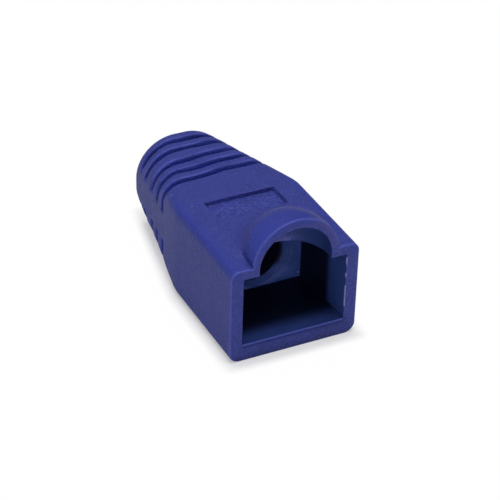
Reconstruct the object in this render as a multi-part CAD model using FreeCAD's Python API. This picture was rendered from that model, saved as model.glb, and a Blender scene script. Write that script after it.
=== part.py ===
import FreeCAD, Part
import math
import os

from FreeCAD import Vector

# Strain relief boot for an 8P8C modular plug: one moulded piece of soft PVC.
# Frame: X across the boot, Y from the plug mouth (-Y) to the cable end (+Y), +Z up.
# The origin is under the middle of the boot, on the surface that it stands on.

# ---- driving dimensions, millimetres ----

# cavity for the rear of the plug: its sides close in towards the back wall
plug_width = 11.7
plug_clearance = 0.1
plug_grip = 0.6
cavity_height = 8.1
cavity_depth = 9.0

# box round the cavity
side_wall = 1.5
floor_thickness = 2.05
roof_thickness = 1.15
body_length = 13.9
body_top_radius = 1.0
body_bottom_radius = 1.2
mouth_edge_radius = 0.25

# whole boot, and the cable end of its tapering tail
boot_length = 28.9
cable_hole_diameter = 6.4
tail_side_wall = 2.1
tail_top_wall = 1.95
tail_flat = 0.9
tail_lift = 0.5
lead_in = 0.5

# hood over the plug's latch: a round arch at the mouth that closes as a dome
latch_arch_radius = 4.15
latch_axis_rise = 0.55
latch_straight = 0.9
hood_wall = 0.85
hood_crown_rise = 0.2
hood_dome_length = 5.8
hood_foot_radius = 0.6

# shallow label recess on top, with a ramp at its front end
recess_width = 8.4
recess_length = 3.0
recess_ramp = 0.6
recess_depth = 0.42
recess_setback = 0.5

# flexing grooves round the tail, split by a plain spine along each side; the spine's
# top edge climbs towards the cable end
groove_count = 5
groove_width = 0.95
groove_pitch = 2.03
groove_depth = 0.9
end_collar_length = 1.45
spine_height = 3.4
spine_rise = 0.2
spine_climb = 0.45

# ---- sizes and places worked out from them ----

mouth_width = plug_width + plug_clearance
cavity_back_width = plug_width - plug_grip
body_width = mouth_width + 2 * side_wall
roof_inside = floor_thickness + cavity_height
body_height = roof_inside + roof_thickness
cable_radius = cable_hole_diameter / 2
tail_width = cable_hole_diameter + 2 * tail_side_wall
tail_height = cable_hole_diameter + 2 * tail_top_wall
cable_axis_height = tail_lift + tail_height / 2
latch_axis_height = roof_inside + latch_axis_rise
hood_radius = latch_arch_radius + hood_wall
hood_axis_height = latch_axis_height + hood_crown_rise
mouth_y = -boot_length / 2
tail_y = boot_length / 2
break_y = mouth_y + body_length
back_wall_y = mouth_y + cavity_depth

# how far a cutting tool runs past the face that it leaves
overrun = 1.0


def rounded_section(y, half_width, bottom, top, bottom_radius, top_radius):
    """Closed rounded rectangle in the plane at y: four arcs and four lines."""
    corners = [
        (half_width - top_radius, top - top_radius, top_radius, 0),
        (top_radius - half_width, top - top_radius, top_radius, 90),
        (bottom_radius - half_width, bottom + bottom_radius, bottom_radius, 180),
        (half_width - bottom_radius, bottom + bottom_radius, bottom_radius, 270),
    ]

    def on_corner(corner, turn):
        x, z, radius, start = corner
        angle = math.radians(start + turn)
        return Vector(x + radius * math.cos(angle), y, z + radius * math.sin(angle))

    edges = []
    for index, corner in enumerate(corners):
        following = corners[(index + 1) % len(corners)]
        arc = Part.Arc(on_corner(corner, 0), on_corner(corner, 45), on_corner(corner, 90))
        line = Part.LineSegment(on_corner(corner, 90), on_corner(following, 0))
        edges += [arc.toShape(), line.toShape()]
    return Part.Wire(edges)


def outer_form(inset):
    """Box and tapering tail without the hood, drawn in by inset on every side."""
    smallest = 0.2
    box_half = body_width / 2 - inset
    box_top = body_height - inset
    bottom_radius = max(body_bottom_radius - inset, smallest)
    top_radius = max(body_top_radius - inset, smallest)
    tail_half = tail_width / 2 - inset
    tail_bottom = tail_lift + inset
    tail_top = tail_lift + tail_height - inset
    tail_radius = max(min(tail_width, tail_height) / 2 - tail_flat / 2 - inset, smallest)
    sections = [
        rounded_section(mouth_y, box_half, inset, box_top, bottom_radius, top_radius),
        rounded_section(break_y, box_half, inset, box_top, bottom_radius, top_radius),
        rounded_section(tail_y, tail_half, tail_bottom, tail_top, tail_radius, tail_radius),
    ]
    return Part.makeLoft(sections, True, True)


def hood_form():
    """Round bar from the mouth, closed behind by a dome longer than its radius."""
    shoulder_y = mouth_y + latch_straight
    centre = Vector(0, shoulder_y, 0)
    shoulder = Vector(0, shoulder_y, -hood_radius)
    tip = Vector(0, shoulder_y + hood_dome_length, 0)
    if hood_dome_length > hood_radius:
        oval = Part.Ellipse(tip, shoulder, centre)
    else:
        oval = Part.Ellipse(shoulder, tip, centre)
    outline = [
        Part.LineSegment(Vector(0, mouth_y, 0), Vector(0, mouth_y, -hood_radius)).toShape(),
        Part.LineSegment(Vector(0, mouth_y, -hood_radius), shoulder).toShape(),
        Part.ArcOfEllipse(oval, 0, math.pi / 2).toShape(),
        Part.LineSegment(tip, Vector(0, mouth_y, 0)).toShape(),
    ]
    half_section = Part.Face(Part.Wire(outline))
    bar = half_section.revolve(Vector(0, 0, 0), Vector(0, 1, 0), 360)
    bar.translate(Vector(0, 0, hood_axis_height))
    return bar


def latch_space():
    """Room for the latch under the hood: a round bar that ends in half a ball."""
    along = Vector(0, 1, 0)
    shoulder = Vector(0, mouth_y + latch_straight, latch_axis_height)
    front = Vector(0, mouth_y - overrun, latch_axis_height)
    bar = Part.makeCylinder(latch_arch_radius, latch_straight + overrun, front, along)
    ball = Part.makeSphere(latch_arch_radius, shoulder, along, 0, 90, 360)
    return bar.fuse(ball)


def hooded_body():
    """Outer form with the hood on top, its foot blended and the mouth edge eased."""
    above_floor = Part.makeBox(
        body_width,
        boot_length,
        body_height + 2 * hood_radius,
        Vector(-body_width / 2, mouth_y, floor_thickness),
    )
    body = outer_form(0).fuse(hood_form().common(above_floor)).removeSplitter()
    nearly = 0.01

    def at_hood_foot(box):
        level = max(abs(box.ZMin - body_height), abs(box.ZMax - body_height)) < nearly
        return level and max(-box.XMin, box.XMax) < hood_radius + nearly and box.YLength > nearly

    def at_mouth(box):
        return max(abs(box.YMin - mouth_y), abs(box.YMax - mouth_y)) < nearly

    shelf = body_width / 2 - body_top_radius - hood_radius
    foot = [edge for edge in body.Edges if at_hood_foot(edge.BoundBox)]
    body = body.makeFillet(min(hood_foot_radius, shelf / 2), foot)
    rim = [edge for edge in body.Edges if at_mouth(edge.BoundBox)]
    return body.makeFillet(min(mouth_edge_radius, side_wall / 3), rim)


def plug_cavity():
    """Pocket for the plug: full width at the mouth, narrower at its back wall."""
    widening = (mouth_width - cavity_back_width) / cavity_depth
    ends = [
        (mouth_y - overrun, mouth_width + widening * overrun),
        (back_wall_y, cavity_back_width),
    ]
    outlines = []
    for y, width in ends:
        left = -width / 2
        right = width / 2
        corners = [
            Vector(left, y, floor_thickness),
            Vector(right, y, floor_thickness),
            Vector(right, y, roof_inside),
            Vector(left, y, roof_inside),
        ]
        outlines.append(Part.makePolygon(corners + corners[:1]))
    return Part.makeLoft(outlines, True, True)


def cable_hole():
    """Hole from the cavity to the cable end, with a short funnel at its front."""
    funnel = min(lead_in, cable_axis_height - cable_radius - floor_thickness)
    end_y = tail_y + overrun
    outline = [
        Vector(0, back_wall_y, 0),
        Vector(0, end_y, 0),
        Vector(0, end_y, cable_radius),
        Vector(0, back_wall_y + funnel, cable_radius),
        Vector(0, back_wall_y, cable_radius + funnel),
    ]
    half_section = Part.Face(Part.makePolygon(outline + outline[:1]))
    hole = half_section.revolve(Vector(0, 0, 0), Vector(0, 1, 0), 360)
    hole.translate(Vector(0, 0, cable_axis_height))
    return hole


def label_recess():
    """Shallow pocket in the top face; its floor ramps up to the surface in front."""
    rear = break_y - recess_setback
    ramp_foot = rear - recess_length
    run_out = recess_ramp * overrun / recess_depth
    outline = [
        (rear, body_height + overrun),
        (rear, body_height - recess_depth),
        (ramp_foot, body_height - recess_depth),
        (ramp_foot - recess_ramp - run_out, body_height + overrun),
    ]
    corners = [Vector(-recess_width / 2, y, z) for y, z in outline]
    return Part.Face(Part.makePolygon(corners + corners[:1])).extrude(Vector(recess_width, 0, 0))


def flexing_grooves():
    """Slots across the tail down to its core, stopped at the spine on each side."""
    reach = body_width + body_height
    first = tail_y - end_collar_length - groove_width
    slots = []
    for index in range(groove_count):
        corner = Vector(-reach / 2, first - index * groove_pitch, -reach / 2)
        slots.append(Part.makeBox(reach, groove_width, 2 * reach, corner))
    spine_bottom = cable_axis_height + spine_rise - spine_height / 2
    spine_top = spine_bottom + spine_height
    side_view = [
        Vector(-reach / 2, break_y - spine_height, spine_bottom),
        Vector(-reach / 2, tail_y, spine_bottom),
        Vector(-reach / 2, tail_y, spine_top + spine_climb),
        Vector(-reach / 2, break_y, spine_top),
        Vector(-reach / 2, break_y - spine_height, spine_top),
    ]
    spine = Part.Face(Part.makePolygon(side_view + side_view[:1])).extrude(Vector(reach, 0, 0))
    return Part.makeCompound(slots).cut([outer_form(groove_depth), spine])


def strain_relief_boot():
    """The whole moulding as one solid."""
    hollow = [plug_cavity(), latch_space(), cable_hole(), label_recess(), flexing_grooves()]
    return hooded_body().cut(hollow)


os.makedirs("parts", exist_ok=True)
boot = strain_relief_boot()
size = boot.optimalBoundingBox(False, False)
print("boot: solids", len(boot.Solids), "valid", boot.isValid())
print("boot: volume", round(boot.Volume, 1), "mm3, centre of mass y", round(boot.CenterOfGravity.y, 2))
print("boot: size", round(size.XLength, 2), round(size.YLength, 2), round(size.ZLength, 2))
boot.Solids[0].exportStep("parts/boot.step")
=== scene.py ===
import math

import bmesh
import bpy
import numpy as np
from mathutils import Matrix, Vector


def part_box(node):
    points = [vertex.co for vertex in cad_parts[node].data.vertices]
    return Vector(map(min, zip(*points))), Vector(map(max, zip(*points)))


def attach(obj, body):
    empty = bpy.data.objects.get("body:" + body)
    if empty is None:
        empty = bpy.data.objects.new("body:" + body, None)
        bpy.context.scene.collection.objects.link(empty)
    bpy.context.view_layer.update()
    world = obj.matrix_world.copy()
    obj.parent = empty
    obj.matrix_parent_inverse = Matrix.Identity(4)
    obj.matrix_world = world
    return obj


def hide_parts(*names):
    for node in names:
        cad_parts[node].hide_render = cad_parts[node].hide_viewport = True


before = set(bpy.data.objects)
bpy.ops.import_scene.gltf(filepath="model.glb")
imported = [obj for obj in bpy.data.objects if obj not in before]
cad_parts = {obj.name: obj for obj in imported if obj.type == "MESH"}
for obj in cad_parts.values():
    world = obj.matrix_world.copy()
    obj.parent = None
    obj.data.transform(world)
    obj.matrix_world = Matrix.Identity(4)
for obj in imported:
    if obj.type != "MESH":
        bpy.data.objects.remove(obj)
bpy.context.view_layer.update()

# ---- boot ----
# One moulding in soft PVC: an open box for the rear of a modular plug, a domed hood over the
# plug's latch, and a tapering tail with flexing grooves. One closed skin, in millimetres, runs
# over the outside from mouth to cable end, back through the cable hole, and out of the box.

mm = 0.001
boot_low, boot_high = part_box("boot")
mouth_y = boot_low.y / mm
tail_y = boot_high.y / mm

# box
box_width = (boot_high.x - boot_low.x) / mm
box_height = 11.3
box_length = 13.9
top_corner = 1.0
bottom_corner = 1.22
mouth_round = 0.25
break_y = mouth_y + box_length
break_softness = 0.25

# tail, from the break to its round-cornered end
tail_length = tail_y - break_y
tail_width = 10.6
tail_height = 10.3
tail_lift = 0.5
tail_corner = 4.7
tail_round = 0.6

# latch hood: its fillet widens over the reach, and a faint crease runs beside its front
hood_radius = 5.0
hood_axis = boot_high.z / mm - hood_radius
hood_shoulder = mouth_y + 0.9
hood_dome = 5.8
hood_foot_front = 0.35
hood_foot_rear = 2.4
hood_foot_reach = 5.0
crease_depth = 0.18
crease_width = 0.28
crease_fades = 2.2
crease_ends = 3.4

# cavity for the plug, and the ball-ended room for its latch
cavity_mouth_width = 11.9
cavity_back_width = 10.8
cavity_floor = 2.05
cavity_roof = 10.15
cavity_middle = (cavity_roof + cavity_floor) / 2
cavity_half_height = (cavity_roof - cavity_floor) / 2
cavity_corner = 0.12
back_wall = mouth_y + 9.0
latch_radius = 4.15
latch_axis = 10.7
latch_blend = 0.12
mouth_inner_round = 0.12

# cable hole: the funnel at the back wall is cut short by the cavity's floor
cable_radius = 3.2
cable_axis = tail_lift + tail_height / 2
cable_end_round = 0.25
funnel_radius = 4.3
funnel_depth = 0.9
funnel_cut = 0.75
floor_gap = 0.04

# flexing grooves, stopped at a plain spine along each side; the spine's top edge climbs
groove_count = 5
groove_width = 0.83
groove_draft = 0.06
groove_pitch = 1.97
groove_depth = 0.9
groove_round = 0.14
end_collar = 1.43
first_groove = tail_y - end_collar - groove_width - (groove_count - 1) * groove_pitch
spine_centre = cable_axis + 0.2
spine_half = 1.7
spine_edge = 0.06
spine_climb = 0.45

# label recess, with a ramp at its front end
recess_half = 4.2
recess_depth = 0.5
recess_rear = break_y - 0.5
recess_front = recess_rear - 3.0
recess_ramp = 0.6
recess_ramp_round = 0.4
recess_round = 0.06

# set of the soft tail: it bends, its slots wander and open on the left, one ridge is nicked
tail_bend = 0.06
slot_opening = 0.4
slot_shift = 0.2
wander_box = 0.02
wander_tail = 0.07
wander_length = 4.2
nick_x = -0.5
nick_y = 9.95
nick_depth = 0.22


def smooth_step(low_edge, high_edge, value):
    """0 below the low edge, 1 above the high edge, and a cubic ease between them."""
    t = np.clip((value - low_edge) / (high_edge - low_edge), 0, 1)
    return t * t * (3 - 2 * t)


def smooth_min(a, b, reach):
    """The lower of two distances, rounded where they differ by less than reach."""
    near = np.maximum(reach - np.abs(a - b), 0) / reach
    return np.minimum(a, b) - near * near * reach / 4


def ripple(x, y, z, length):
    """Smooth irregularity between about -1 and 1: three sine waves in skew directions."""
    k = 2 * math.pi / length
    first = np.sin(k * (0.9 * x + 0.5 * y - 0.3 * z) + 1.3)
    second = np.sin(k * (-0.4 * x + 0.8 * y + 0.7 * z) + 4.1)
    third = np.sin(k * (0.3 * x - 0.9 * y + 0.6 * z) * 1.7 + 2.2)
    return (first + second + third) / 3


def taper(y):
    """Share of the way from the box to the tail's end, eased where the taper starts."""
    share = (y - break_y) / tail_length
    ease = break_softness / tail_length
    return np.minimum((share + np.sqrt(share * share + ease * ease)) / 2, 1)


def outer_frame(y):
    """Half width, middle height and half height of the outside at y."""
    t = taper(y)
    half = box_width / 2 * (1 - t) + tail_width / 2 * t
    bottom = tail_lift * t
    top = box_height * (1 - t) + (tail_lift + tail_height) * t
    return half, (top + bottom) / 2, (top - bottom) / 2


def outer_distance(x, y, z):
    """Distance from the outside skin, below 0 in the wall: rounded box joined to the hood.

    The box is the distance from an inner rectangle, less the corner radius. The hood is a
    round bar that ends in an ellipsoid: its scaled radius less 1, divided by the slope. A
    fillet joins them and widens to the rear, with a shallow crease along its front part.
    """
    half, middle, tall = outer_frame(y)
    t = taper(y)
    corner = np.where(z > middle, top_corner, bottom_corner) * (1 - t) + tail_corner * t
    across = np.abs(x) - (half - corner)
    up = np.abs(z - middle) - (tall - corner)
    outside = np.hypot(np.maximum(across, 0), np.maximum(up, 0))
    box = outside + np.minimum(np.maximum(across, up), 0) - corner
    behind = np.maximum(y - hood_shoulder, 0)
    radial = np.hypot(x, z - hood_axis)
    scaled = np.hypot(radial / hood_radius, behind / hood_dome)
    slope = np.hypot(radial / hood_radius**2, behind / hood_dome**2) + 1e-9
    hood = scaled * (scaled - 1) / slope
    widening = smooth_step(0, hood_foot_reach, behind)
    foot = hood_foot_front + (hood_foot_rear - hood_foot_front) * widening
    beside_hood = 1 - smooth_step(crease_fades, crease_ends, behind)
    crease = crease_depth * np.exp(-(box * box + hood * hood) / crease_width**2) * beside_hood
    return smooth_min(box, hood, foot) + crease


def cavity_half_width(y):
    """Half the cavity's width at y: it narrows evenly from the mouth to the back wall."""
    share = (y - mouth_y) / (back_wall - mouth_y)
    return (cavity_mouth_width * (1 - share) + cavity_back_width * share) / 2


def cavity_distance(x, y, z):
    """Distance from the inside skin, below 0 in the hollow: plug pocket and latch room.

    The pocket is a rectangle with small corner radii, and the room for the latch is a round
    bar that ends in half a ball, blended where it breaks through the pocket's roof.
    """
    across = np.abs(x) - (cavity_half_width(y) - cavity_corner)
    up = np.abs(z - cavity_middle) - (cavity_half_height - cavity_corner)
    outside = np.hypot(np.maximum(across, 0), np.maximum(up, 0))
    pocket = outside + np.minimum(np.maximum(across, up), 0) - cavity_corner
    behind = np.maximum(y - hood_shoulder, 0)
    dome = np.sqrt(x * x + behind * behind + (z - latch_axis) ** 2) - latch_radius
    return smooth_min(pocket, dome, latch_blend)


def rounded_path(corners, steps):
    """Line through (y, inset, radius) corners, each rounded by an arc of its radius.

    The arc touches both sides at the radius times the tangent of half the turn, and its
    points are spread evenly along it.
    """
    points = [corners[0][:2]]
    for before, corner, after in zip(corners, corners[1:], corners[2:]):
        here = np.array(corner[:2])
        back = np.array(before[:2]) - here
        ahead = np.array(after[:2]) - here
        back_length = np.linalg.norm(back)
        ahead_length = np.linalg.norm(ahead)
        back = back / back_length
        ahead = ahead / ahead_length
        half_turn = (math.pi - math.acos(np.clip(back @ ahead, -1, 1))) / 2
        if half_turn < 0.01 or corner[2] == 0:
            points.append(tuple(here))
            continue
        trim = min(corner[2] * math.tan(half_turn), 0.45 * min(back_length, ahead_length))
        bisector = (back + ahead) / np.linalg.norm(back + ahead)
        centre = here + bisector * trim / math.sin(half_turn)
        start = here + back * trim - centre
        end = here + ahead * trim - centre
        for s in np.linspace(0, 1, steps):
            swing = 2 * half_turn * s
            blend = start * math.sin(2 * half_turn - swing) + end * math.sin(swing)
            points.append(tuple(centre + blend / math.sin(2 * half_turn)))
    points.append(corners[-1][:2])
    return np.array(points)


def filled(path, step_at):
    """The same line with extra points, so that no step is longer than step_at(y)."""
    points = [path[:1]]
    for start, end in zip(path, path[1:]):
        count = max(1, math.ceil(np.linalg.norm(end - start) / step_at(start[0])))
        share = np.linspace(0, 1, count + 1)[1:, None]
        points.append(start + (end - start) * share)
    return np.concatenate(points)


def square_columns(side, top, bottom, crowded):
    """Places round a unit square, counted from the right side upwards, closer at corners.

    The crowded places along the top, and their mirror images, are added to its even ones.
    """

    def spread(count):
        s = np.linspace(-1, 1, count, endpoint=False)
        return 0.5 * s + 0.5 * np.sin(s * math.pi / 2)

    along_top = np.sort(np.concatenate([spread(top), crowded, -crowded]))
    right = np.stack([np.ones(side), spread(side)])
    over = np.stack([-along_top, np.ones(len(along_top))])
    left = np.stack([-np.ones(side), -spread(side)])
    under = np.stack([spread(bottom), -np.ones(bottom)])
    return np.concatenate([right, over, left, under], axis=1)


def cast(distance, y, half, middle, tall, columns, wanted):
    """Where rays from each row's middle meet the skin, found by halving the interval."""
    dx = columns[0] * half[:, None]
    dz = columns[1] * tall[:, None]
    near = np.full(dx.shape, 0.15)
    far = np.full(dx.shape, 2.6)
    for _ in range(22):
        guess = (near + far) / 2
        x = dx * guess
        z = middle[:, None] + dz * guess
        inside = distance(x, y, z) < wanted(x, y, z)
        near = np.where(inside, guess, near)
        far = np.where(inside, far, guess)
    return dx * near, middle[:, None] + dz * near


def outer_rows(columns):
    """Outside skin: the rounded profile of mouth, recess, grooves and tail, ray by ray.

    The profile gives each row its y and how far it is inset from the outside form. Rays from
    the row's middle find that depth, except that grooves stop at the spines, and that the
    recess is the top lowered straight down between its two sides.
    """
    corners = [
        (mouth_y, mouth_round + 0.15, 0),
        (mouth_y, mouth_round, 0),
        (mouth_y, 0, mouth_round),
        (recess_front - recess_ramp, 0, recess_ramp_round),
        (recess_front, recess_depth, recess_ramp_round),
        (recess_rear, recess_depth, recess_round),
        (recess_rear, 0, recess_round),
    ]
    for start in first_groove + groove_pitch * np.arange(groove_count):
        end = start + groove_width
        corners += [
            (start, 0, groove_round),
            (start, groove_depth, groove_round),
            (end, groove_depth, groove_round),
            (end + groove_draft, 0, groove_round),
        ]
    corners += [(tail_y, 0, tail_round), (tail_y, tail_round, 0)]
    past_hood = hood_shoulder + hood_dome + 0.8
    near_grooves = first_groove - 0.64

    # rows lie closer on the hood and along the grooves than on the plain stretch between
    path = filled(
        rounded_path(corners, 4),
        lambda y: 0.22 if y < past_hood else 0.36 if y > near_grooves else 0.9,
    )
    y, inset = path[:, :1], path[:, 1:]
    in_recess = (y > recess_front - recess_ramp - 0.5) & (y < recess_rear + 0.2)
    in_grooves = (y > first_groove - 0.44) & (y < tail_y - end_collar + 0.28)
    climb = spine_climb * (y - break_y) / tail_length

    def wanted(x, y, z):
        from_centre = np.maximum(z - spine_centre - climb, spine_centre - z)
        grooved = smooth_step(spine_half - spine_edge, spine_half + spine_edge, from_centre)
        return -inset * np.where(in_recess, 0, np.where(in_grooves, grooved, 1))

    half, middle, tall = outer_frame(y[:, 0])
    x, z = cast(outer_distance, y, half, middle, tall, columns, wanted)
    sunk = 1 - smooth_step(recess_half - 0.3, recess_half + 0.04, np.abs(x))
    z = z - np.where(in_recess & (z > box_height / 2), inset * sunk, 0)
    return x, y + 0 * x, z


def cavity_rows(columns):
    """Inside of the box from its back wall to the eased edge of the mouth.

    Rays find the cavity's skin, and rows crowd together at the tip of the latch room, where
    the roof opens. The deeper walls are plain, so they need no rows of their own.
    """
    dome_tip = hood_shoulder + latch_radius
    path = filled(
        rounded_path(
            [
                (back_wall, -0.15, 0),
                (back_wall, 0, 0.15),
                (dome_tip + 0.06, 0, 0),
                (dome_tip - 0.36, 0, 0),
                (mouth_y, 0, mouth_inner_round),
                (mouth_y, mouth_inner_round, 0),
                (mouth_y, mouth_inner_round + 0.08, 0),
            ],
            4,
        ),
        lambda y: 0.03 if -0.1 < dome_tip - y < 0.3 else 0.18,
    )
    on_back_edge = np.arange(len(path)) < 5
    path = path[on_back_edge | (path[:, 0] < dome_tip + 0.3)]
    y, outset = path[:, :1], path[:, 1:]
    half = cavity_half_width(y[:, 0])
    middle = np.full(len(y), cavity_middle)
    tall = np.full(len(y), cavity_half_height)
    x, z = cast(cavity_distance, y, half, middle, tall, columns, lambda x, y, z: outset)
    return x, y + 0 * x, z


def hole_rows(columns):
    """Cable hole from its rounded end edge to the funnel in the cavity's back wall.

    Each row is a circle of the profile's radius round the hole's axis. The funnel flares
    less towards the bottom, where it would run into the cavity's floor.
    """
    path = rounded_path(
        [
            (tail_y, cable_radius + 2 * cable_end_round, 0),
            (tail_y, cable_radius, cable_end_round),
            (back_wall + funnel_depth, cable_radius, 0.2),
            (back_wall, funnel_radius, 0.3),
            (back_wall, funnel_radius + 0.2, 0),
        ],
        5,
    )
    path = filled(path, lambda y: 0.2 if y < back_wall + funnel_depth + 1 else 3.0)
    length = np.hypot(columns[0], columns[1])
    low = smooth_step(0.45, 0.85, -columns[1] / length)
    flare = np.maximum(path[:, 1:] - cable_radius, 0) * (path[:, :1] < 0)
    radius = path[:, 1:] - funnel_cut * low * flare
    x = radius * columns[0] / length
    z = np.maximum(cable_axis + radius * columns[1] / length, cavity_floor + floor_gap)
    return x, path[:, :1] + 0 * x, z


def boot_skin():
    """All rows as one closed grid: vertex (i, j) is row i along, column j around.

    Then the soft tail's set moves each point: sideways and down as a held beam bends, by
    s * s * (3 - s) / 2 at share s of the tail, and along Y where the slots wander, open on
    the left or are nicked.
    """
    box_half = box_width / 2
    crowded = (recess_half + np.array([-0.36, -0.28, -0.2, -0.12, -0.04, 0.03, 0.1])) / box_half
    columns = square_columns(side=82, top=118, bottom=60, crowded=crowded)
    bands = [outer_rows(columns), hole_rows(columns), cavity_rows(columns)]
    x, y, z = (np.concatenate([band[axis] for band in bands]) for axis in range(3))
    from_ends = smooth_step(0, 1.2, y - mouth_y) * smooth_step(0, 1.2, tail_y - y)
    in_tail = smooth_step(0, 4, y - break_y)
    wander = (wander_box + wander_tail * in_tail) * ripple(x, y, z, wander_length)
    nick = nick_depth * np.exp(-((x - nick_x) ** 2) / 0.8 - ((y - nick_y) ** 2) / 0.05) * (z > 8)
    share = np.clip((y - break_y) / tail_length, 0, 1)
    bend = tail_bend * share * share * (3 - share) / 2
    behind = smooth_step(8.9, 10.2, y)
    on_left = 1 - smooth_step(-2.6, 1.2, x)
    opened = slot_shift * behind - slot_opening * on_left * smooth_step(2.5, 4.2, y) * (1 - behind)
    outside = np.arange(len(x))[:, None] < len(bands[0][0])
    opened = from_ends * opened * outside
    moved = [x - bend, y + opened + from_ends * (wander + nick), z - bend]
    return np.stack(moved, axis=-1), opened, [len(band[0]) for band in bands]


skin, opened, band_rows = boot_skin()
row_count, column_count = skin.shape[:2]
index = np.arange(row_count * column_count).reshape(row_count, column_count)
ahead = np.roll(index, -1, axis=0)
faces = np.stack(
    [index, ahead, np.roll(ahead, -1, axis=1), np.roll(index, -1, axis=1)], axis=-1
).reshape(-1, 4)

boot_mesh = bpy.data.meshes.new("boot_moulding")
boot_mesh.vertices.add(row_count * column_count)
boot_mesh.vertices.foreach_set("co", (skin * mm).astype(np.float32).ravel())
boot_mesh.loops.add(faces.size)
boot_mesh.loops.foreach_set("vertex_index", faces.astype(np.int32).ravel())
boot_mesh.polygons.add(len(faces))
boot_mesh.polygons.foreach_set("loop_start", np.arange(0, faces.size, 4, dtype=np.int32))
boot_mesh.update(calc_edges=True)
boot_mesh.validate()
boot_mesh.polygons.foreach_set("use_smooth", np.ones(len(boot_mesh.polygons), bool))


def named_value(name, values):
    """Stores one number per vertex for the material to read."""
    attribute = boot_mesh.attributes.new(name, "FLOAT", "POINT")
    attribute.data.foreach_set("value", values.astype(np.float32).ravel())


skin_x, skin_y, skin_z = skin[..., 0], skin[..., 1], skin[..., 2]
outside_rows, hole_row_count = band_rows[:2]
row = np.arange(row_count)[:, None]
on_outside = row < outside_rows
in_hole = ~on_outside & (row < outside_rows + hole_row_count)
in_cavity = row >= outside_rows + hole_row_count
on_back_wall = in_cavity & (row < outside_rows + hole_row_count + 4)
depth = skin_y - mouth_y

# Painted shade: the cavity's floor and walls deeper than about 3 mm, its roof faintly and the
# near part of the cable hole are painted nearly black; the back wall is left as it is.
on_floor = 1 - smooth_step(0.1, 0.3, skin_z - cavity_floor)
under_hood = smooth_step(-0.15, -0.02, skin_z - cavity_roof)
floor_painted_shade = 0.15 + 0.25 * smooth_step(0, 5, skin_x)
floor_painted_shade = floor_painted_shade + (1 - floor_painted_shade) * smooth_step(0.8, 3.1, depth)
wall_painted_shade = smooth_step(2.8, 3.9, depth)
painted_deep_shade = floor_painted_shade * on_floor + wall_painted_shade * (1 - on_floor)
painted_deep_shade = painted_deep_shade * (1 - under_hood) + 0.35 * under_hood * smooth_step(0.05, 0.3, depth)
from_axis = np.hypot(skin_x, skin_z - cable_axis)
into_bore = 1 - smooth_step(cable_radius + 0.16, cable_radius + 0.46, from_axis)
into_bore = into_bore * (1 - smooth_step(-2, 2.5, skin_y))
off_ends = smooth_step(0.05, 0.2, depth) * smooth_step(0.1, 0.4, tail_y - skin_y)
named_value("inside", (in_hole | in_cavity) * off_ends)
named_value("painted_deep_shade", np.where(in_cavity & ~on_back_wall, painted_deep_shade, in_hole * into_bore))

# Painted highlights along the mouth's edge and the lips of the grooves, and painted bounce
# light that makes the grooves' floors a purer, brighter blue.
mouth_highlight = np.exp(-(((depth - 0.06) / 0.06) ** 2)) * ((row > 1) & on_outside)
slot_y = skin_y - opened
outward = outer_distance(skin_x, slot_y, skin_z)
from_spine = np.abs(skin_z - spine_centre - 0.2) - spine_half
groove_highlight = np.zeros(skin_y.shape)
for groove_end in first_groove + groove_width + groove_pitch * np.arange(groove_count):
    groove_highlight = np.maximum(groove_highlight, np.exp(-(((slot_y - groove_end - 0.08) / 0.09) ** 2)))
groove_highlight = groove_highlight * smooth_step(-0.3, -0.1, outward) * smooth_step(0, 0.4, from_spine)
named_value("rim_painted_highlight", np.maximum(mouth_highlight, groove_highlight * on_outside))
in_slot = (slot_y > first_groove - 0.19) & (slot_y < tail_y - end_collar + 0.03) & on_outside
sunk_in = 1 - smooth_step(-0.35, -0.1, outward)
named_value("groove_painted_bounce", in_slot * sunk_in * smooth_step(0, 1.5, from_spine))

# The thin hood is painted a purer blue as a glow of light through it, with painted light on
# its left flank and a painted sheen on its far slope.
hood_x = skin_x / hood_radius
hood_y = np.maximum(skin_y - hood_shoulder, 0) / hood_dome
hood_z = (skin_z - hood_axis) / hood_radius
on_hood = 1 - smooth_step(1.0, 1.1, np.sqrt(hood_x**2 + hood_y**2 + hood_z**2))
on_hood = on_hood * (skin_z > box_height + 0.1) * on_outside
named_value("hood", on_hood)
named_value("flank_painted_light", on_hood * smooth_step(0, 4, -skin_x))
far_slope = 1 - smooth_step(0.15, 0.9, hood_z - 0.69 * hood_x - 1.16 * hood_y)
named_value("hood_painted_sheen", on_hood * far_slope)

# The label recess is rougher than the top round it, and the box's long top edges carry a
# painted highlight in a purer blue.
sunk_side = 1 - smooth_step(recess_half - 0.4, recess_half - 0.2, np.abs(skin_x))
sunk_along = smooth_step(recess_front - 0.5, recess_front, skin_y) * (skin_y < recess_rear - 0.1)
named_value("etched", sunk_side * sunk_along * (skin_z > box_height - 1) * on_outside)
from_edge = (np.abs(skin_x) - box_width / 2 + 0.6) / 0.6
top_edge_highlight = np.exp(-(from_edge**2)) * (skin_z > box_height - 1.1)
named_value("edge", top_edge_highlight * on_outside * (1 - smooth_step(4.0, 6.0, skin_y)))

# The hood's thin lip over the cavity has a painted highlight along its edge, and painted
# light brightens the ledge under the cable hole.
above_roof = skin_z - cavity_roof
on_lip = in_cavity * (skin_y > -12) * (skin_y < -8.5) * smooth_step(-0.06, 0.02, above_roof)
on_lip = on_lip * (1 - smooth_step(0.35, 0.75, above_roof)) * smooth_step(-3.0, -0.8, -skin_x)
named_value("lip_painted_highlight", on_lip)
in_funnel = in_hole * (skin_y < back_wall + funnel_depth)
named_value("ledge_painted_light", in_funnel * smooth_step(4.2, 3.0, skin_z))

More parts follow.
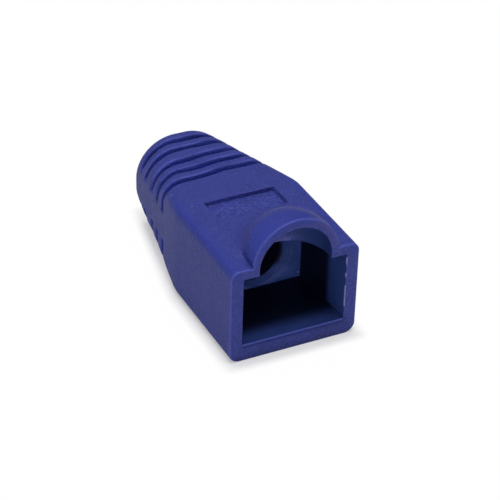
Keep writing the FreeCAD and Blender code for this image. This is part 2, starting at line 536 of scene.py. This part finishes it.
# A torn film of flash hangs inside the mouth's right edge.
film = np.zeros(skin_z.shape)
for low, high in ((3.5, 6.2), (7.2, 7.8), (8.8, 9.7)):
    below_top = smooth_step(-high - 0.1, 0.1 - high, -skin_z)
    film += smooth_step(low - 0.1, low + 0.2, skin_z) * below_top
film = film * (skin_x > 5.0) * (0.7 + 0.3 * ripple(skin_x, 3 * skin_z, skin_z, 1.7))
named_value("film", film * (in_cavity & (depth < 0.14) & (row < row_count - 2)))

# Rows that meet on the plain spines and beside the recess are joined into one.
same_place = 0.0001
joined = bmesh.new()
joined.from_mesh(boot_mesh)
bmesh.ops.remove_doubles(joined, verts=joined.verts, dist=same_place * mm)
joined.to_mesh(boot_mesh)
joined.free()

boot_piece = bpy.data.objects.new("boot_moulding", boot_mesh)
bpy.context.scene.collection.objects.link(boot_piece)
flow = boot_piece.modifiers.new("even_shading", "WEIGHTED_NORMAL")
flow.weight = 100


def node(tree, kind, inputs=(), **settings):
    """Adds one shader node, sets its fields and its input values or links, and returns it."""
    made = tree.nodes.new(kind)
    for name, value in settings.items():
        setattr(made, name, value)
    for name, value in dict(inputs).items():
        if isinstance(value, bpy.types.NodeSocket):
            tree.links.new(value, made.inputs[name])
        else:
            made.inputs[name].default_value = value
    return made


def blend(tree, share, low, high, mode="MIX"):
    """Colour mix node: low where share is 0 and high where it is 1."""
    mix = node(tree, "ShaderNodeMix", {"Factor": share}, data_type="RGBA", blend_type=mode)
    for socket, value in ((mix.inputs[6], low), (mix.inputs[7], high)):
        if isinstance(value, bpy.types.NodeSocket):
            tree.links.new(value, socket)
        else:
            socket.default_value = value
    return mix.outputs[2]


def ramp(tree, value, low, high, top=1.0, bottom=0.0):
    """Straight ramp from bottom at low to top at high, held outside them."""
    scaled = {"Value": value, "From Min": low, "From Max": high}
    scaled.update({"To Min": bottom, "To Max": top})
    return node(tree, "ShaderNodeMapRange", scaled).outputs["Result"]


def stored(tree, name):
    """Reads back a number stored on the vertices."""
    return node(tree, "ShaderNodeAttribute", attribute_name=name).outputs["Fac"]


def math_node(tree, operation, first, second):
    """One arithmetic step on two values or sockets."""
    return node(tree, "ShaderNodeMath", {0: first, 1: second}, operation=operation).outputs[0]


def product(tree, first, *others):
    """All the values or sockets multiplied together."""
    for other in others:
        first = math_node(tree, "MULTIPLY", first, other)
    return first


# blue-violet PVC: a slightly cloudy pigment with paler flecks, duller and greener inside
pvc = bpy.data.materials.new("blue_violet_pvc")
pvc.use_nodes = True
tree = pvc.node_tree
shader = tree.nodes["Principled BSDF"]
place = node(tree, "ShaderNodeTexCoord").outputs["Object"]
cloud = node(
    tree, "ShaderNodeTexNoise", {"Vector": place, "Scale": 420, "Detail": 3, "Roughness": 0.6}
)
flecks = node(
    tree, "ShaderNodeTexNoise", {"Vector": place, "Scale": 3300, "Detail": 1.5, "Roughness": 0.6}
)
clouded = ramp(tree, cloud.outputs["Fac"], 0.3, 0.7)
flecked = ramp(tree, flecks.outputs["Fac"], 0.35, 0.7)
etched = product(tree, stored(tree, "etched"), ramp(tree, flecks.outputs["Fac"], 0.5, 0.65))
pigment = blend(tree, clouded, (0.027, 0.038, 0.225, 1), (0.033, 0.046, 0.262, 1))
pigment = blend(tree, flecked, pigment, (0.046, 0.06, 0.31, 1))
pigment = blend(tree, etched, pigment, (0.06, 0.08, 0.4, 1))
inside_pigment = blend(tree, clouded, (0.029, 0.06, 0.25, 1), (0.036, 0.072, 0.29, 1))
colour = blend(tree, stored(tree, "inside"), pigment, inside_pigment)
# All of these shades are painted light or shade: deep shade, bounce light in the grooves, the
# hood's glow, flank light and sheen, and highlights on edges, rims, lip and ledge.
shades = (
    ("painted_deep_shade", (0.0015, 0.0045, 0.022, 1)),
    ("groove_painted_bounce", (0.041, 0.066, 0.39, 1)),
    ("edge", (0.031, 0.045, 0.3, 1)),
    ("hood", (0.0285, 0.042, 0.285, 1)),
    ("flank_painted_light", (0.034, 0.05, 0.33, 1)),
    ("hood_painted_sheen", (0.053, 0.057, 0.26, 1)),
    ("lip_painted_highlight", (0.13, 0.14, 0.47, 1)),
    ("ledge_painted_light", (0.07, 0.12, 0.45, 1)),
    ("rim_painted_highlight", (0.074, 0.094, 0.46, 1)),
)
for name, shade in shades:
    colour = blend(tree, stored(tree, name), colour, shade)

# turning marks that the core left round the hole, painted as the pale highlights they catch on
# the lower part of the back wall, and not where the deep shade is painted
apart = node(tree, "ShaderNodeSeparateXYZ", {"Vector": place}).outputs
hole_centre = (0, 0, cable_axis * mm)
off_axis = node(
    tree, "ShaderNodeVectorMath", {0: place, 1: hole_centre}, operation="SUBTRACT"
).outputs[0]
across = node(
    tree, "ShaderNodeVectorMath", {0: off_axis, 1: (1, 0, 1)}, operation="MULTIPLY"
).outputs[0]
reach = node(tree, "ShaderNodeVectorMath", {0: across}, operation="LENGTH").outputs["Value"]
rings = node(
    tree,
    "ShaderNodeTexNoise",
    {"W": reach, "Scale": 7000, "Detail": 1},
    noise_dimensions="1D",
)
patches = node(tree, "ShaderNodeTexNoise", {"Vector": across, "Scale": 700, "Detail": 1})
marked = product(
    tree,
    ramp(tree, rings.outputs["Fac"], 0.5, 0.62),
    ramp(tree, patches.outputs["Fac"], 0.4, 0.6),
    ramp(tree, reach, 4.7 * mm, 4.4 * mm),
    ramp(tree, apart["Y"], (back_wall - 0.3) * mm, (back_wall - 0.1) * mm),
    math_node(tree, "SUBTRACT", 1.0, stored(tree, "painted_deep_shade")),
    ramp(tree, apart["Z"], 6.2 * mm, 4.8 * mm),
    ramp(tree, apart["Y"], 0, -1 * mm),
)
colour = blend(tree, marked, colour, (0.13, 0.17, 0.42, 1))

# the mouth's front face painted a little paler, a painted highlight on a bead of flash under the
# mouth's lower edge with a painted shadow line below it, and painted shade towards the foot
front_face = ramp(tree, apart["Y"], (mouth_y + 0.12) * mm, (mouth_y + 0.06) * mm)
colour = blend(tree, front_face, colour, (1.12, 1.09, 1.0, 1), "MULTIPLY")
from_middle = math_node(tree, "ABSOLUTE", apart["X"], 0.0)
under_mouth = ramp(tree, from_middle, cavity_mouth_width / 2 * mm, 5.8 * mm)
broken = ramp(tree, cloud.outputs["Fac"], 0.35, 0.55, bottom=0.5)
bead_highlight_and_shadow = ((0.08, 0.13, (0.062, 0.09, 0.42, 1)), (0.36, 0.16, (0.014, 0.025, 0.18, 1)))
for below, half_width, tint in bead_highlight_and_shadow:
    level = math_node(tree, "SUBTRACT", apart["Z"], (cavity_floor - below) * mm)
    level = math_node(tree, "ABSOLUTE", level, 0.0)
    line = ramp(tree, level, half_width * mm, 0.4 * half_width * mm)
    colour = blend(tree, product(tree, line, broken, front_face, under_mouth), colour, tint)
painted_foot_shade = ramp(tree, apart["Z"], 0.9 * mm, 0.1 * mm, top=0.5)
colour = blend(tree, painted_foot_shade, colour, (0.01, 0.012, 0.05, 1))

# pale dust specks, the last one a painted glint on the back wall's lower right corner, and the
# torn film of flash
specks = [
    ((-6.38, 2.49, 10.76), 0.14),
    ((-6.22, 7.87, 6.33), 0.13),
    ((-6.5, 5.9, 6.37), 0.12),
    ((-5.61, -1.19, 11.3), 0.1),
    ((-3.49, -1.18, 10.88), 0.13),
    # a painted glint on the corner, not a speck of dust
    ((5.15, -5.45, 2.6), 0.13),
]
for centre, radius in specks:
    centre = tuple(mm * value for value in centre)
    gap = node(tree, "ShaderNodeVectorMath", {0: place, 1: centre}, operation="DISTANCE")
    spot = ramp(tree, gap.outputs["Value"], radius * mm, 0.4 * radius * mm, top=0.8)
    colour = blend(tree, spot, colour, (0.26, 0.3, 0.5, 1))
colour = blend(tree, stored(tree, "film"), colour, (0.32, 0.36, 0.6, 1))

# fine pebbled skin, fainter inside and stronger in the label recess
grain = node(
    tree, "ShaderNodeTexNoise", {"Vector": place, "Scale": 2600, "Detail": 2, "Roughness": 0.55}
)
pebble = node(tree, "ShaderNodeTexVoronoi", {"Vector": place, "Scale": 3400, "Randomness": 1})
relief = math_node(tree, "ADD", grain.outputs["Fac"], pebble.outputs["Distance"])
fainter_inside = ramp(tree, stored(tree, "inside"), 0, 1, top=0.2, bottom=1.0)
rougher_recess = ramp(tree, stored(tree, "etched"), 0, 1, top=1.4, bottom=1.0)
relief = product(tree, relief, fainter_inside, rougher_recess)
pebbled = node(
    tree, "ShaderNodeBump", {"Strength": 0.6, "Distance": 0.11 * mm, "Height": relief}
)
tree.links.new(colour, shader.inputs["Base Color"])
tree.links.new(pebbled.outputs["Normal"], shader.inputs["Normal"])
shader.inputs["Roughness"].default_value = 0.55
shader.inputs["Specular IOR Level"].default_value = 0.2
boot_mesh.materials.append(pvc)

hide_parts("boot")
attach(boot_piece, "root")

# ---- floor ----
# A pale matt sweep that the boot lies on. Away from the boot it is lifted to near white for
# the camera alone, and next to the boot's foot it keeps the soft shadow.

floor_mesh = bpy.data.meshes.new("floor")
floor_mesh.from_pydata([(-2, -2, 0), (2, -2, 0), (2, 2, 0), (-2, 2, 0)], [], [(0, 1, 2, 3)])
floor = bpy.data.objects.new("floor", floor_mesh)
bpy.context.scene.collection.objects.link(floor)
paper = bpy.data.materials.new("white_paper")
paper.use_nodes = True
tree = paper.node_tree
matt = tree.nodes["Principled BSDF"]
matt.inputs["Roughness"].default_value = 1.0
matt.inputs["Specular IOR Level"].default_value = 0.0
seen = node(tree, "ShaderNodeLightPath").outputs["Is Camera Ray"]
shade = blend(tree, seen, (0.85, 0.85, 0.85, 1), (1, 1, 1, 1))
tree.links.new(shade, matt.inputs["Base Color"])
glow = node(tree, "ShaderNodeEmission", {"Color": (1, 1, 1, 1), "Strength": 1.0})
ground = node(tree, "ShaderNodeTexCoord").outputs["Object"]
along = node(tree, "ShaderNodeSeparateXYZ", {0: ground}).outputs["Y"]
centred = node(tree, "ShaderNodeVectorMath", {0: ground, 1: (0, -0.65 * mm, 0)}).outputs[0]
centred = node(tree, "ShaderNodeVectorMath", {0: centred}, operation="ABSOLUTE").outputs[0]
sides = node(tree, "ShaderNodeSeparateXYZ", {0: centred}).outputs
foot_at_box = box_width / 2 * mm
foot_at_tail = (tail_width / 2 - 1.3) * mm
foot = ramp(tree, along, -1 * mm, (tail_y + 2) * mm, bottom=foot_at_box, top=foot_at_tail)
past_side = math_node(tree, "MAXIMUM", math_node(tree, "SUBTRACT", sides["X"], foot), 0.0)
past_end = math_node(tree, "SUBTRACT", sides["Y"], (tail_y + 1.35) * mm)
past_end = math_node(tree, "MAXIMUM", past_end, 0.0)
past = node(tree, "ShaderNodeCombineXYZ", {"X": past_side, "Y": past_end})
clear = node(tree, "ShaderNodeVectorMath", {0: past.outputs[0]}, operation="LENGTH")
clear = ramp(tree, clear.outputs["Value"], 0, 0.0012, top=0.985, bottom=0.36)
lift = product(tree, seen, clear)
lit = node(tree, "ShaderNodeMixShader", {0: lift, 1: matt.outputs[0], 2: glow.outputs[0]})
tree.links.new(lit.outputs[0], tree.nodes["Material Output"].inputs["Surface"])
floor_mesh.materials.append(paper)

# ---- light ----
# A wide softbox overhead, a smaller one low in front, and two faint ones at the left and at
# the rear, in a dim pale room. The pale floor throws light back on the upright faces.


def softbox(name, place, target, size, power):
    """Square area lamp at place, in metres, turned to face the target."""
    lamp = bpy.data.lights.new(name, "AREA")
    lamp.shape = "SQUARE"
    lamp.size = size
    lamp.energy = power
    holder = bpy.data.objects.new(name, lamp)
    holder.location = place
    holder.rotation_euler = (Vector(target) - Vector(place)).to_track_quat("-Z", "Y").to_euler()
    bpy.context.scene.collection.objects.link(holder)


softbox("overhead", (0, 0, 0.6), (0, 0, 0), 0.5, 2.8)
softbox("front_low", (-0.15, -0.5, 0.12), (0, 0, 0), 0.3, 0.65)
softbox("left", (-0.45, 0.05, 0.3), (0, 0, 0), 0.35, 0.15)
softbox("rear", (0, 0.4, 0.4), (0, 0, 0), 0.4, 0.25)

room = bpy.data.worlds.new("room")
bpy.context.scene.world = room
room.use_nodes = True
tree = room.node_tree
sky = tree.nodes["Background"]
sky.inputs["Color"].default_value = (1, 1, 1, 1)
seen = node(tree, "ShaderNodeLightPath").outputs["Is Camera Ray"]
strength = ramp(tree, seen, 0, 1, bottom=0.15)
tree.links.new(strength, sky.inputs["Strength"])

# ---- camera ----
# A long lens that looks down over the mouth's left corner at the open hood.

azimuth = math.radians(-27.188)
elevation = math.radians(33.539)
roll = math.radians(1.811)
aim = Vector((-1.709, -7.294, 8.41)) * mm
distance = 219.29 * mm
back = Vector(
    (
        math.sin(azimuth) * math.cos(elevation),
        -math.cos(azimuth) * math.cos(elevation),
        math.sin(elevation),
    )
)
level_right = Vector((0, 0, 1)).cross(back).normalized()
level_up = back.cross(level_right)
right = level_right * math.cos(roll) + level_up * math.sin(roll)
up = level_up * math.cos(roll) - level_right * math.sin(roll)

lens = bpy.data.cameras.new("camera")
lens.sensor_width = 36
lens.lens = 149.9
lens.clip_start = 0.01
lens.clip_end = 10
camera = bpy.data.objects.new("camera", lens)
camera.matrix_world = Matrix.Translation(aim + back * distance) @ Matrix(
    (right, up, back)
).transposed().to_4x4()
bpy.context.scene.collection.objects.link(camera)
bpy.context.scene.camera = camera

bpy.context.scene.view_settings.view_transform = "Standard"
